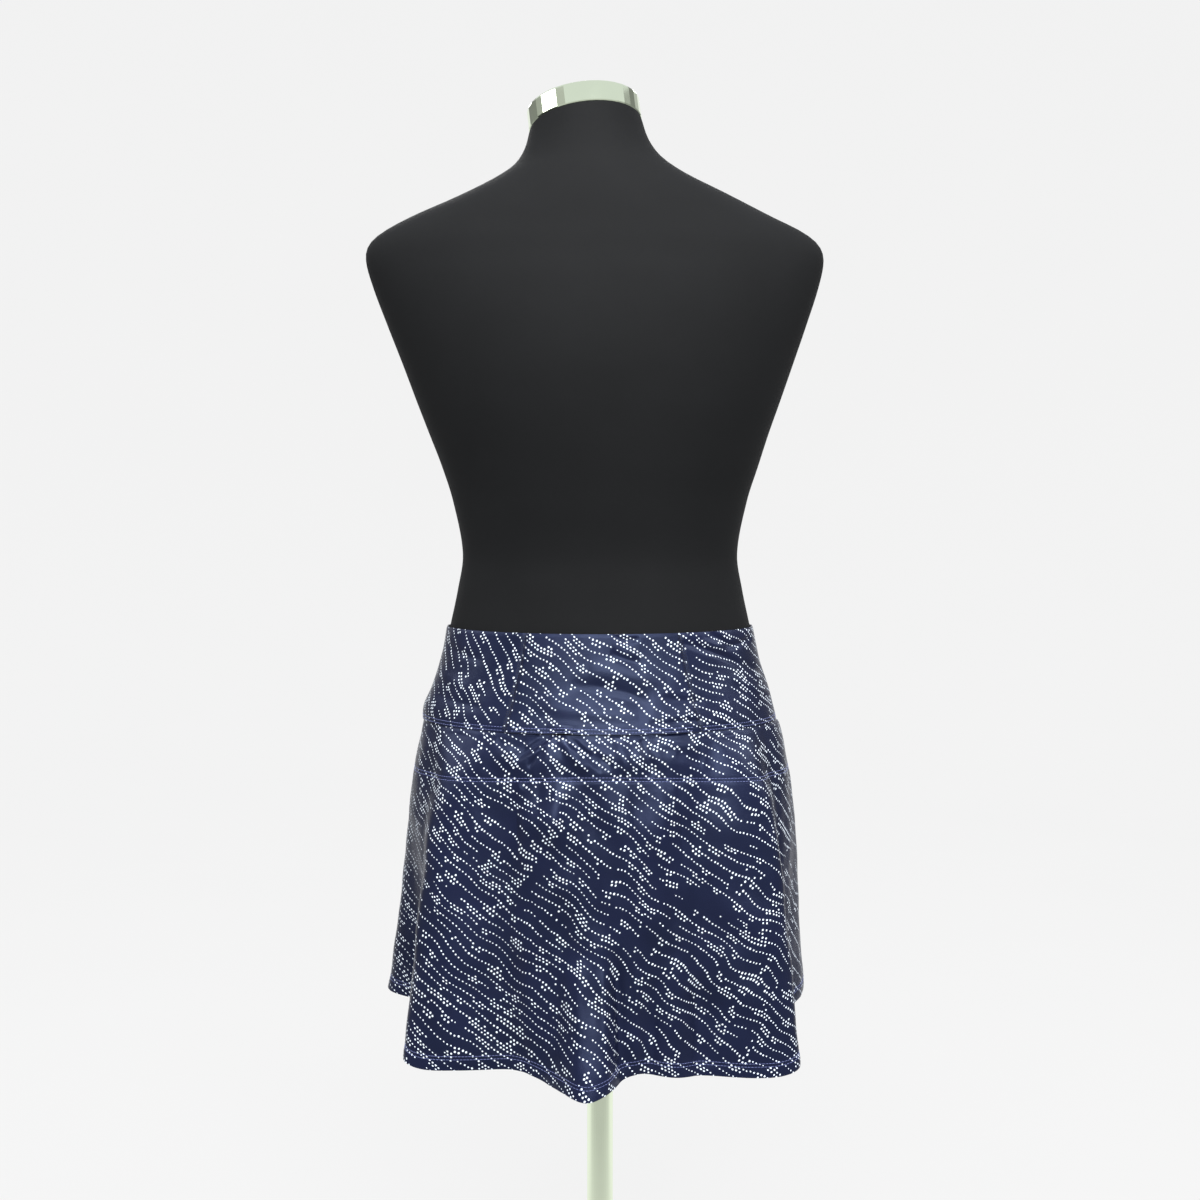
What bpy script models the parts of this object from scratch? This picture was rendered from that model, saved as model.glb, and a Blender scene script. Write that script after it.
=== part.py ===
"""An athletic skirt worn by a limbless dress form on a low stand.

Metres, +Z up. The wearer faces -Y, so the back of the skirt faces +Y and the wearer's left is +X.
The origin is the middle of the stand's foot, on the floor. Angles go round from the wearer's left
side (0 degrees) by the centre back (90) and the right side (180) to the centre front (270).
"""

import bisect
import math

import bmesh
import bpy
from mathutils import Euler, Vector

CM = 0.01
MM = 0.001

# Levels
WAIST_Z = 66.0 * CM
YOKE_DEPTH = 9.0 * CM

# Cloth
YOKE_WALL = 1.8 * MM
SKIRT_WALL = 1.2 * MM
CLOTH_TO_FORM = 0.7 * MM
SEAM_GAP = 0.3 * MM

# Seams, as angles round the body at the top and at the bottom of the yoke
LEFT_SIDE_SEAM = -3.0
RIGHT_SIDE_SEAM = 183.0
LEFT_YOKE_SEAM = (52.0, 48.5)
RIGHT_YOKE_SEAM = (130.6, 134.1)
FULL_TURN = 360.0

# Stand
NECK_CAP_RADIUS = 5.5 * CM
NECK_CAP_HEIGHT = 2.1 * CM
POLE_RADIUS = 1.3 * CM
POLE_FLANGE_RADIUS = 5.0 * CM
POLE_FLANGE_THICKNESS = 0.5 * CM
FOOT_RADIUS = 14.0 * CM
FOOT_THICKNESS = 0.5 * CM
FOOT_BOSS_RADIUS = 2.2 * CM
FOOT_BOSS_HEIGHT = 4.0 * CM
SOCKET_FLOOR = 0.4 * CM
FIT_GAP = 0.3 * MM

# Mesh density
FORM_COLUMNS = 48
ROUND_SIDES = 40

# The dress form's sections: centimetres above the waistband's top edge, then half width, depth to the
# back, depth to the front and the section's centre along Y and along X, all in centimetres, and how far
# it tilts forward and leans to the wearer's left, in degrees.
FORM_COLUMN_NAMES = ("height", "half_width", "back", "front", "centre", "side", "tilt", "lean")
FORM_SECTIONS = (
    (-26.0, 15.5, 9.3, 8.3, 0.0, 0.0, 0.0, 0.0),
    (-25.2, 16.5, 10.2, 9.1, 0.0, 0.0, 0.0, 0.0),
    (-23.0, 17.4, 11.1, 9.9, 0.0, 0.0, 0.0, 0.0),
    (-20.0, 18.0, 11.9, 10.4, 0.0, 0.0, 0.0, 0.0),
    (-16.0, 18.2, 12.4, 10.7, 0.0, 0.0, 0.0, 0.0),
    (-12.0, 17.55, 12.0, 10.8, 0.0, 0.0, 0.0, 0.0),
    (-9.0, 16.9, 11.3, 10.8, 0.0, 0.0, 0.0, 0.0),
    (-6.0, 16.1, 10.6, 10.65, 0.0, 0.0, 0.0, 0.0),
    (-3.0, 15.15, 10.0, 10.4, 0.0, 0.0, 0.0, 0.0),
    (0.0, 14.55, 9.6, 10.1, 0.0, 0.0, 0.0, 0.0),
    (3.5, 13.8, 9.2, 9.6, 0.0, 0.0, 0.0, 0.0),
    (7.0, 13.3, 9.0, 9.3, 0.0, 0.0, 0.0, 0.0),
    (12.0, 14.2, 9.6, 9.7, 0.0, 0.0, 0.0, 0.0),
    (15.5, 15.3, 10.1, 10.3, 0.0, 0.0, 0.0, 0.0),
    (18.5, 16.35, 10.5, 10.8, 0.0, 0.1, 0.0, 0.0),
    (21.5, 17.45, 10.8, 11.1, 0.0, 0.15, 0.0, 0.0),
    (25.0, 18.7, 10.9, 10.8, 0.0, 0.2, 0.0, 0.0),
    (29.0, 20.15, 10.5, 9.7, 0.0, 0.3, 0.0, 0.0),
    (32.5, 21.35, 9.7, 8.4, 0.0, 0.4, 0.0, 0.0),
    (35.0, 21.9, 8.8, 7.3, 0.0, 0.5, 0.0, 0.0),
    (36.4, 21.5, 8.3, 6.8, 0.0, 0.6, 0.0, 0.0),
    (37.6, 20.1, 7.9, 6.3, -0.1, 0.7, 0.0, 0.0),
    (39.2, 17.0, 7.5, 5.8, -0.3, 0.8, 0.0, 0.0),
    (41.0, 13.2, 7.0, 5.4, -0.6, 0.95, 1.0, 1.0),
    (42.8, 9.5, 6.4, 5.2, -1.0, 1.1, 3.0, 2.0),
    (44.3, 7.3, 5.8, 5.2, -1.4, 1.2, 5.0, 3.5),
    (46.0, 6.1, 5.5, 5.3, -1.9, 1.3, 9.0, 5.0),
    (48.2, 5.45, 5.45, 5.45, -2.6, 1.4, 12.0, 7.0),
)

# The bust, as two soft rises on the front
BUST_HALF_SPACING = 7.6 * CM
BUST_HEIGHT = 19.5 * CM
BUST_RISE = 2.4 * CM
BUST_SPREAD = 4.6 * CM

# The skirt's sections below the yoke, before its folds: centimetres below the waistband's top edge, then
# half width, depth to the back and depth to the front, in centimetres.
SKIRT_COLUMN_NAMES = ("drop", "half_width", "back", "front")
SKIRT_SECTIONS = (
    (9.0, 17.17, 11.57, 11.07),
    (12.0, 17.85, 12.3, 11.1),
    (16.0, 18.5, 12.75, 11.1),
    (21.0, 18.85, 12.95, 11.4),
    (26.0, 18.95, 13.05, 11.9),
    (32.0, 19.05, 13.1, 12.5),
    (42.0, 19.2, 13.2, 13.3),
)

# The skirt's folds: the angle of the ridge or trough, how far it spreads to each side in degrees, its
# height at the hem in millimetres (a trough is negative), the drop in centimetres where it begins, and
# how late it opens (1 opens evenly, more opens near the hem).
FOLD_COLUMN_NAMES = ("angle", "spread_before", "spread_after", "rise", "begins", "lateness")
SKIRT_FOLDS = (
    (-3.0, 22.0, 11.0, 21.0, 18.0, 1.3),
    (11.5, 11.0, 12.0, -26.0, 18.0, 1.0),
    (31.5, 13.0, 24.0, 42.0, 9.6, 0.85),
    (60.0, 13.0, 13.0, -6.0, 24.0, 1.3),
    (86.5, 21.0, 16.0, 31.0, 26.0, 1.6),
    (108.0, 9.0, 9.0, -4.0, 26.0, 1.3),
    (120.0, 10.0, 9.0, 4.0, 26.0, 1.3),
    (149.0, 23.0, 12.0, 44.0, 9.6, 0.62),
    (167.0, 10.0, 10.0, -8.0, 20.0, 1.0),
    (180.0, 35.0, 35.0, 4.0, 9.2, 0.2),
    (186.0, 15.0, 18.0, 9.0, 18.0, 1.0),
    (213.0, 16.0, 17.0, 15.0, 15.0, 1.1),
    (233.0, 11.0, 11.0, -6.0, 20.0, 1.1),
    (252.0, 14.0, 15.0, 14.0, 17.0, 1.1),
    (271.0, 11.0, 11.0, -7.0, 20.0, 1.1),
    (290.0, 15.0, 15.0, 15.0, 16.0, 1.1),
    (309.0, 11.0, 11.0, -6.0, 20.0, 1.1),
    (328.0, 16.0, 15.0, 14.0, 17.0, 1.1),
)

# The hem's drop below the waistband's top edge, in centimetres, at angles round the body
HEM_COLUMN_NAMES = ("angle", "drop")
HEM_LINE = (
    (-8.0, 35.9),
    (10.0, 36.9),
    (22.0, 38.3),
    (33.0, 39.7),
    (43.0, 39.85),
    (57.0, 40.05),
    (69.0, 40.75),
    (78.0, 40.95),
    (86.0, 41.25),
    (96.0, 40.5),
    (106.0, 40.0),
    (120.0, 40.35),
    (132.0, 40.5),
    (147.0, 40.4),
    (158.0, 38.8),
    (170.0, 37.1),
    (186.0, 36.2),
    (225.0, 36.3),
    (270.0, 36.6),
    (315.0, 36.2),
)

# Where the cloth walls have their rows, as shares of the panel's height, and their columns, in degrees
SKIRT_ROWS = (0.0, 0.07, 0.14, 0.22, 0.31, 0.41, 0.52, 0.63, 0.74, 0.84, 0.93, 1.0)
YOKE_ROWS = (0.0, 1 / 3, 2 / 3, 1.0)
BACK_COLUMN_STEP = 3.6
FRONT_COLUMN_STEP = 4.4
YOKE_COLUMN_STEP = 5.0

# The steps that give a surface's slope, and the angle from which an edge is shaded sharp
SLOPE_ANGLE = 0.3
SLOPE_DROP = 0.5 * MM
EDGE_ANGLE = 60.0
TURNED_EDGE_ANGLE = 35.0


def between(table, names, wanted):
    """The table's row at the wanted value of its first column, as a dictionary, on a smooth curve."""
    keys = [row[0] for row in table]
    at = min(max(bisect.bisect_right(keys, wanted) - 1, 0), len(table) - 2)
    before, low = table[max(at - 1, 0)], table[at]
    high, after = table[at + 1], table[min(at + 2, len(table) - 1)]
    span = high[0] - low[0]
    t = min(max((wanted - low[0]) / span, 0.0), 1.0)
    found = {}
    for column, name in enumerate(names):
        slope_low = (high[column] - before[column]) / (high[0] - before[0]) * span
        slope_high = (after[column] - low[column]) / (after[0] - low[0]) * span
        found[name] = (
            (2 * t**3 - 3 * t**2 + 1) * low[column]
            + (t**3 - 2 * t**2 + t) * slope_low
            + (3 * t**2 - 2 * t**3) * high[column]
            + (t**3 - t**2) * slope_high
        )
    return found


def radius_of(section, angle):
    """Distance from the section's centre to its edge, which is half an ellipse behind and half in front."""
    depth = section["back"] if math.sin(angle) >= 0 else section["front"]
    return 1.0 / math.hypot(
        math.cos(angle) / section["half_width"], math.sin(angle) / depth
    )


def form_section(height):
    return between(FORM_SECTIONS, FORM_COLUMN_NAMES, height / CM)


def fold_share(offset, spread_before, spread_after):
    """How much of a fold's height shows at an angle this far from its ridge."""
    spread = spread_before if offset < 0 else spread_after
    if abs(offset) >= spread:
        return 0.0
    return math.cos(0.5 * math.pi * offset / spread) ** 2


def nearest_turn(offset):
    """The same difference between two angles, brought within half a turn."""
    return (offset + FULL_TURN / 2) % FULL_TURN - FULL_TURN / 2


def hem_drop(degrees):
    """How far below the waistband's top edge the hem lies at this angle."""
    first = HEM_LINE[0][0]
    closed = HEM_LINE + tuple((a + FULL_TURN, d) for a, d in HEM_LINE[:2])
    wanted = (degrees - first) % FULL_TURN + first
    return between(closed, HEM_COLUMN_NAMES, wanted)["drop"] * CM


def fold_rise(degrees, drop):
    """How far the folds push the skirt outward, at this angle and drop."""
    bottom = hem_drop(degrees)
    total = 0.0
    for row in SKIRT_FOLDS:
        fold = dict(zip(FOLD_COLUMN_NAMES, row))
        begins = fold["begins"] * CM
        if drop <= begins:
            continue
        opened = ((drop - begins) / (bottom - begins)) ** fold["lateness"]
        offset = nearest_turn(degrees - fold["angle"])
        share = fold_share(offset, fold["spread_before"], fold["spread_after"])
        total += fold["rise"] * MM * opened * share
    return total


def yoke_point(degrees, drop):
    """A point on the outer face of the yoke, which lies close on the form."""
    angle = math.radians(degrees)
    radius = radius_of(form_section(-drop), angle) * CM + CLOTH_TO_FORM + YOKE_WALL
    return Vector(
        (radius * math.cos(angle), radius * math.sin(angle), WAIST_Z - drop)
    )


def skirt_point(degrees, drop):
    """A point on the outer face of the skirt below the yoke seam."""
    angle = math.radians(degrees)
    section = between(SKIRT_SECTIONS, SKIRT_COLUMN_NAMES, drop / CM)
    radius = radius_of(section, angle) * CM + fold_rise(degrees, drop)
    return Vector(
        (radius * math.cos(angle), radius * math.sin(angle), WAIST_Z - drop)
    )


def material(name, colour, roughness, metallic=0.0):
    made = bpy.data.materials.new(name)
    made.use_nodes = True
    shader = made.node_tree.nodes["Principled BSDF"]
    shader.inputs["Base Color"].default_value = (*colour, 1.0)
    shader.inputs["Roughness"].default_value = roughness
    shader.inputs["Metallic"].default_value = metallic
    return made


def add_object(name, mesh, finish):
    mesh.materials.append(finish)
    made = bpy.data.objects.new(name, mesh)
    bpy.context.scene.collection.objects.link(made)
    return made


def mesh_from(name, build):
    """A mesh filled by a function that works on a bmesh."""
    shape = bmesh.new()
    build(shape)
    mesh = bpy.data.meshes.new(name)
    shape.to_mesh(mesh)
    shape.free()
    return mesh


def outward(surface, degrees, drop):
    """The direction straight out of a cloth surface at one of its points."""
    across = surface(degrees + SLOPE_ANGLE, drop) - surface(degrees - SLOPE_ANGLE, drop)
    down = surface(degrees, drop + SLOPE_DROP) - surface(degrees, drop - SLOPE_DROP)
    return down.cross(across).normalized()


def cloth_panel(name, surface, places, thickness, finish):
    """A cloth wall through rows of places (angle, drop) on its outer surface, top row first."""

    def build(shape):
        outer = [[surface(*place) for place in row] for row in places]
        inner = [
            [point - outward(surface, *place) * thickness for point, place in zip(*pair)]
            for pair in zip(outer, places)
        ]
        faces = [[[shape.verts.new(p) for p in row] for row in side] for side in (outer, inner)]
        outer, inner = faces
        rows, columns = len(outer), len(outer[0])
        for r in range(rows - 1):
            for c in range(columns - 1):
                shape.faces.new((outer[r][c], outer[r + 1][c], outer[r + 1][c + 1], outer[r][c + 1]))
                shape.faces.new((inner[r][c], inner[r][c + 1], inner[r + 1][c + 1], inner[r + 1][c]))
        rim = [(0, c) for c in range(columns)]
        rim += [(r, columns - 1) for r in range(1, rows)]
        rim += [(rows - 1, c) for c in range(columns - 2, -1, -1)]
        rim += [(r, 0) for r in range(rows - 2, 0, -1)]
        for (r, c), (next_r, next_c) in zip(rim, rim[1:] + rim[:1]):
            shape.faces.new(
                (outer[r][c], outer[next_r][next_c], inner[next_r][next_c], inner[r][c])
            )

    made = add_object(name, mesh_from(name, build), finish)
    made.data.shade_smooth()
    made.data.set_sharp_from_angle(angle=math.radians(EDGE_ANGLE))
    return made


def columns_between(start, end, step):
    """Angles from start to end, evenly spaced, no further apart than the step."""
    count = math.ceil((end - start) / step)
    return [start + (end - start) * i / count for i in range(count + 1)]


def yoke_panel(name, left_seam, right_seam, finish):
    """A yoke panel between two seams, each given by its angle at the top and at the bottom."""
    rows = []
    count = len(columns_between(left_seam[0], right_seam[0], YOKE_COLUMN_STEP))
    for share in YOKE_ROWS:
        drop = share * YOKE_DEPTH
        start = left_seam[0] + (left_seam[1] - left_seam[0]) * share
        end = right_seam[0] + (right_seam[1] - right_seam[0]) * share
        trim = math.degrees(SEAM_GAP / 2 / yoke_point(start, drop).to_2d().length)
        start, end = start + trim, end - trim
        angles = [start + (end - start) * i / (count - 1) for i in range(count)]
        rows.append([(angle, drop) for angle in angles])
    return cloth_panel(name, yoke_point, rows, YOKE_WALL, finish)


def skirt_panel(name, start, end, step, finish):
    """A flared panel between two side seams, from the yoke seam to the hem."""
    trim = math.degrees(SEAM_GAP / 2 / skirt_point(start, YOKE_DEPTH).to_2d().length)
    angles = columns_between(start + trim, end - trim, step)
    top = YOKE_DEPTH + SEAM_GAP
    rows = []
    for share in SKIRT_ROWS:
        drops = [top + (hem_drop(angle) - top) * share for angle in angles]
        rows.append(list(zip(angles, drops)))
    return cloth_panel(name, skirt_point, rows, SKIRT_WALL, finish)


def section_turn(section):
    """How a section of the form is tilted forward and leant to the side."""
    tilt, lean = math.radians(section["tilt"]), math.radians(section["lean"])
    return Euler((tilt, lean, 0.0)).to_matrix()


def section_middle(section):
    """Where the middle of a section of the form lies."""
    height = WAIST_Z + section["height"] * CM
    return Vector((section["side"] * CM, section["centre"] * CM, height))


def form_ring(row):
    """The points round one section of the dress form."""
    section = dict(zip(FORM_COLUMN_NAMES, row))
    turn = section_turn(section)
    middle = section_middle(section)
    points = []
    for i in range(FORM_COLUMNS):
        angle = 2 * math.pi * i / FORM_COLUMNS
        depth = section["back"] if math.sin(angle) >= 0 else section["front"]
        across = section["half_width"] * math.cos(angle)
        flat = Vector((across, depth * math.sin(angle), 0.0)) * CM
        point = middle + turn @ flat
        if flat.y < 0:
            off_side = abs(flat.x) - BUST_HALF_SPACING
            away = math.hypot(off_side, point.z - WAIST_Z - BUST_HEIGHT)
            point.y -= BUST_RISE * math.exp(-((away / BUST_SPREAD) ** 2) / 2)
        points.append(point)
    return points


def dress_form(finish):
    """The form's torso, through its sections, closed flat at the bottom and at the neck."""

    def build(shape):
        rings = [
            [shape.verts.new(point) for point in form_ring(row)]
            for row in FORM_SECTIONS
        ]
        for lower, upper in zip(rings, rings[1:]):
            for i in range(FORM_COLUMNS):
                j = (i + 1) % FORM_COLUMNS
                shape.faces.new((lower[i], lower[j], upper[j], upper[i]))
        shape.faces.new(list(reversed(rings[0])))
        shape.faces.new(rings[-1])

    made = add_object("form_torso", mesh_from("form_torso", build), finish)
    made.data.shade_smooth()
    return made


def turned(name, profile, finish):
    """A round solid from a profile of (radius, height) that starts and ends on the axis, outer side upward."""

    def build(shape):
        points = [shape.verts.new((radius, 0.0, height)) for radius, height in profile]
        edges = [shape.edges.new(pair) for pair in zip(points, points[1:])]
        bmesh.ops.spin(
            shape,
            geom=points + edges,
            cent=(0, 0, 0),
            axis=(0, 0, 1),
            angle=2 * math.pi,
            steps=ROUND_SIDES,
        )
        bmesh.ops.remove_doubles(shape, verts=shape.verts, dist=0.01 * MM)
        bmesh.ops.recalc_face_normals(shape, faces=shape.faces)

    made = add_object(name, mesh_from(name, build), finish)
    made.data.shade_smooth()
    made.data.set_sharp_from_angle(angle=math.radians(TURNED_EDGE_ANGLE))
    return made


def neck_cap(finish):
    """The cap on the neck, tilted with the form's top section and a hair clear of it."""
    edge = 0.25 * CM
    dome = 0.35 * CM
    radius, height = NECK_CAP_RADIUS, NECK_CAP_HEIGHT
    profile = [
        (0.0, 0.0),
        (radius - edge / 2, 0.0),
        (radius, edge / 2),
        (radius, height - edge),
        (radius - edge / 3, height - edge / 3),
        (radius - edge, height),
        (radius * 0.55, height + dome * 0.7),
        (0.0, height + dome),
    ]
    made = turned("form_neck_cap", profile, finish)
    top = dict(zip(FORM_COLUMN_NAMES, FORM_SECTIONS[-1]))
    turn = section_turn(top)
    made.location = section_middle(top) + turn @ Vector((0.0, 0.0, FIT_GAP))
    made.rotation_euler = turn.to_euler()
    return made


def stand(finish):
    """The pole, flanged under the torso, in the socket of a round foot."""
    torso_bottom = WAIST_Z + FORM_SECTIONS[0][0] * CM
    flange_top = torso_bottom - FIT_GAP
    flange_bottom = flange_top - POLE_FLANGE_THICKNESS
    pole_bottom = SOCKET_FLOOR + FIT_GAP
    pole_profile = [
        (0.0, pole_bottom),
        (POLE_RADIUS, pole_bottom),
        (POLE_RADIUS, flange_bottom),
        (POLE_FLANGE_RADIUS, flange_bottom),
        (POLE_FLANGE_RADIUS, flange_top),
        (0.0, flange_top),
    ]
    socket_radius = POLE_RADIUS + FIT_GAP
    edge = 0.15 * CM
    foot_profile = [
        (0.0, 0.0),
        (FOOT_RADIUS, 0.0),
        (FOOT_RADIUS, FOOT_THICKNESS - edge),
        (FOOT_RADIUS - edge, FOOT_THICKNESS),
        (FOOT_BOSS_RADIUS, FOOT_THICKNESS),
        (FOOT_BOSS_RADIUS, FOOT_BOSS_HEIGHT),
        (socket_radius, FOOT_BOSS_HEIGHT),
        (socket_radius, SOCKET_FLOOR),
        (0.0, SOCKET_FLOOR),
    ]
    turned("form_pole", pole_profile, finish)
    turned("form_foot", foot_profile, finish)


def main():
    for old in list(bpy.data.objects):
        bpy.data.objects.remove(old)

    navy_print = material("skirt_fabric", (0.045, 0.05, 0.13), 0.6)
    black_jersey = material("form_jersey", (0.012, 0.012, 0.014), 0.9)
    bright_metal = material("form_metal", (0.8, 0.8, 0.8), 0.12, 1.0)

    left_side = (LEFT_SIDE_SEAM, LEFT_SIDE_SEAM)
    right_side = (RIGHT_SIDE_SEAM, RIGHT_SIDE_SEAM)
    left_side_again = (LEFT_SIDE_SEAM + FULL_TURN, LEFT_SIDE_SEAM + FULL_TURN)
    yoke_panel("yoke_back_left", left_side, LEFT_YOKE_SEAM, navy_print)
    yoke_panel("yoke_back_centre", LEFT_YOKE_SEAM, RIGHT_YOKE_SEAM, navy_print)
    yoke_panel("yoke_back_right", RIGHT_YOKE_SEAM, right_side, navy_print)
    yoke_panel("yoke_front", right_side, left_side_again, navy_print)
    skirt_panel(
        "skirt_back", LEFT_SIDE_SEAM, RIGHT_SIDE_SEAM, BACK_COLUMN_STEP, navy_print
    )
    skirt_panel(
        "skirt_front",
        RIGHT_SIDE_SEAM,
        LEFT_SIDE_SEAM + FULL_TURN,
        FRONT_COLUMN_STEP,
        navy_print,
    )
    dress_form(black_jersey)
    neck_cap(bright_metal)
    stand(bright_metal)


main()
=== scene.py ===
"""The athletic skirt on its dress form, dressed for the render.

Metres, +Z up. The wearer faces -Y, so the back of the skirt faces +Y and the camera, and the wearer's
left is +X. Angles go round from the wearer's left side (0 degrees) by the centre back (90) and the right
side (180) to the centre front (270). A drop is a distance below the waistband's top edge.
"""

import math

import bpy
import numpy as np
from mathutils import Euler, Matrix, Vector

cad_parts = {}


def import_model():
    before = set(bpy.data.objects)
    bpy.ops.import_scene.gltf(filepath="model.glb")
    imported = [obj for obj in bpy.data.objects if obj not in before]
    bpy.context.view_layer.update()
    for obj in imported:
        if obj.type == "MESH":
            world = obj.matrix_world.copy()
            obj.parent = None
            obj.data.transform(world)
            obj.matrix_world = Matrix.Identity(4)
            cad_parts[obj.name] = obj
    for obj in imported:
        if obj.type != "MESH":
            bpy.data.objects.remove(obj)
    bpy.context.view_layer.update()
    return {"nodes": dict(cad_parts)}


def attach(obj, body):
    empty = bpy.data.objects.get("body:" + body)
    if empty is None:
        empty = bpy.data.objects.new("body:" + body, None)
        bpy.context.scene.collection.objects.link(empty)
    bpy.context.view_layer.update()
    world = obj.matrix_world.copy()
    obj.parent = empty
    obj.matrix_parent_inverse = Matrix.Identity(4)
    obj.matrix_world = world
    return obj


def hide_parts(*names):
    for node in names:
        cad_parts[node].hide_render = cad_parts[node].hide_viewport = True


CM = 0.01
MM = 0.001

# Levels, and seams with their angles at the top and at the bottom, as in the solids
WAIST_Z = 66.0 * CM
YOKE_DEPTH = 9.0 * CM
YOKE_WALL = 1.8 * MM
CLOTH_TO_FORM = 0.7 * MM
SEAM_GAP = 0.3 * MM
FULL_TURN = 360.0
BODY_RADIUS = 16.0 * CM
CREASE_SCALE = BODY_RADIUS * math.pi / 180.0
LEFT_SIDE_SEAM = (-3.0, -3.0)
RIGHT_SIDE_SEAM = (183.0, 183.0)
LEFT_SIDE_AGAIN = (357.0, 357.0)
LEFT_YOKE_SEAM = (52.0, 48.5)
RIGHT_YOKE_SEAM = (130.6, 134.1)

# The dress form's sections: centimetres above the waistband's top edge, then half width, depth to the
# back, depth to the front and the section's centre along Y and along X, all in centimetres, and how far
# it tilts forward and leans to the wearer's left, in degrees.
FORM_COLUMN_NAMES = ("height", "half_width", "back", "front", "centre", "side", "tilt", "lean")
FORM_SECTIONS = (
    (-26, 15.5, 9.3, 8.3, 0, 0, 0, 0),
    (-25.2, 16.5, 10.2, 9.1, 0, 0, 0, 0),
    (-23, 17.4, 11.1, 9.9, 0, 0, 0, 0),
    (-20, 18, 11.9, 10.4, 0, 0, 0, 0),
    (-16, 18.2, 12.4, 10.7, 0, 0, 0, 0),
    (-12, 17.55, 12, 10.8, 0, 0, 0, 0),
    (-9, 16.9, 11.3, 10.8, 0, 0, 0, 0),
    (-6, 16.1, 10.6, 10.65, 0, 0, 0, 0),
    (-3, 15.15, 10, 10.4, 0, 0, 0, 0),
    (0, 14.55, 9.6, 10.1, 0, 0, 0, 0),
    (3.5, 13.8, 9.2, 9.6, 0, 0, 0, 0),
    (7, 13.3, 9, 9.3, 0, 0, 0, 0),
    (12, 14.2, 9.6, 9.7, 0, 0, 0, 0),
    (15.5, 15.3, 10.1, 10.3, 0, 0, 0, 0),
    (18.5, 16.35, 10.5, 10.8, 0, 0.1, 0, 0),
    (21.5, 17.45, 10.8, 11.1, 0, 0.15, 0, 0),
    (25, 18.7, 10.9, 10.8, 0, 0.2, 0, 0),
    (29, 20.15, 10.5, 9.7, 0, 0.3, 0, 0),
    (32.5, 21.35, 9.7, 8.4, 0, 0.4, 0, 0),
    (35, 21.9, 8.8, 7.3, 0, 0.5, 0, 0),
    (36.4, 21.5, 8.3, 6.8, 0, 0.6, 0, 0),
    (37.6, 20.1, 7.9, 6.3, -0.1, 0.7, 0, 0),
    (39.2, 17, 7.5, 5.8, -0.3, 0.8, 0, 0),
    (41, 13.2, 7, 5.4, -0.6, 0.95, 1, 1),
    (42.8, 9.5, 6.4, 5.2, -1, 1.1, 3, 2),
    (44.3, 7.3, 5.8, 5.2, -1.4, 1.2, 5, 3.5),
    (46, 6.1, 5.5, 5.3, -1.9, 1.3, 9, 5),
    (48.2, 5.45, 5.45, 5.45, -2.6, 1.4, 12, 7),
)
BUST_HALF_SPACING = 7.6 * CM
BUST_HEIGHT = 19.5 * CM
BUST_RISE = 2.4 * CM
BUST_SPREAD = 4.6 * CM

# The skirt's sections below the yoke, before its folds, in centimetres
SKIRT_COLUMN_NAMES = ("drop", "half_width", "back", "front")
SKIRT_SECTIONS = (
    (9, 17.17, 11.57, 11.07),
    (12, 17.85, 12.3, 11.1),
    (16, 18.5, 12.75, 11.1),
    (21, 18.85, 12.95, 11.4),
    (26, 18.95, 13.05, 11.9),
    (32, 19.05, 13.1, 12.5),
    (42, 19.2, 13.2, 13.3),
)

# The skirt's folds: angle, spread to each side in degrees, height at the hem in millimetres, the drop in
# centimetres where it begins, and how late it opens
FOLD_COLUMN_NAMES = ("angle", "spread_before", "spread_after", "rise", "begins", "lateness")
SKIRT_FOLDS = (
    (-3, 22, 11, 21, 18, 1.3),
    (11.5, 11, 12, -26, 18, 1),
    (31.5, 13, 24, 42, 9.6, 0.85),
    (60, 13, 13, -6, 24, 1.3),
    (86.5, 21, 16, 31, 26, 1.6),
    (108, 9, 9, -4, 26, 1.3),
    (120, 10, 9, 4, 26, 1.3),
    (149, 23, 12, 44, 9.6, 0.62),
    (167, 10, 10, -8, 20, 1),
    (180, 35, 35, 4, 9.2, 0.2),
    (186, 15, 18, 9, 18, 1),
    (213, 16, 17, 15, 15, 1.1),
    (233, 11, 11, -6, 20, 1.1),
    (252, 14, 15, 14, 17, 1.1),
    (271, 11, 11, -7, 20, 1.1),
    (290, 15, 15, 15, 16, 1.1),
    (309, 11, 11, -6, 20, 1.1),
    (328, 16, 15, 14, 17, 1.1),
)

# The hem's drop in centimetres at angles round the body
HEM_COLUMN_NAMES = ("angle", "drop")
HEM_LINE = (
    (-8, 35.9),
    (10, 36.9),
    (22, 38.3),
    (33, 39.7),
    (43, 39.85),
    (57, 40.05),
    (69, 40.75),
    (78, 40.95),
    (86, 41.25),
    (96, 40.5),
    (106, 40),
    (120, 40.35),
    (132, 40.5),
    (147, 40.4),
    (158, 38.8),
    (170, 37.1),
    (186, 36.2),
    (225, 36.3),
    (270, 36.6),
    (315, 36.2),
)

# Cloth shells and their mesh density
SHELL_WALL = 0.9 * MM
HEM_DOUBLE_WALL = 1.7 * MM
HEM_DEPTH = 12.0 * MM
FINE_STEP = 1.2 * MM
YOKE_STEP = 1.5 * MM
COARSE_STEP = 3.0 * MM
POCKET_ZONE_DEPTH = 5.5 * CM
POCKET_ZONE = (46.0, 134.0)
FORM_COLUMNS = 144
FORM_ROW_STEP = 0.55 * CM
FORM_SHARP_ANGLE = 50.0
CLOTH_SHARP_ANGLE = 60.0
HEM_EDGE_SOFTNESS = 0.5 * MM
HEM_SWELL_OUT = 0.25 * MM
HEM_SWELL_ABOVE = 0.5 * HEM_DEPTH
HEM_SWELL_FALL = 0.4 * HEM_DEPTH

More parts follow.
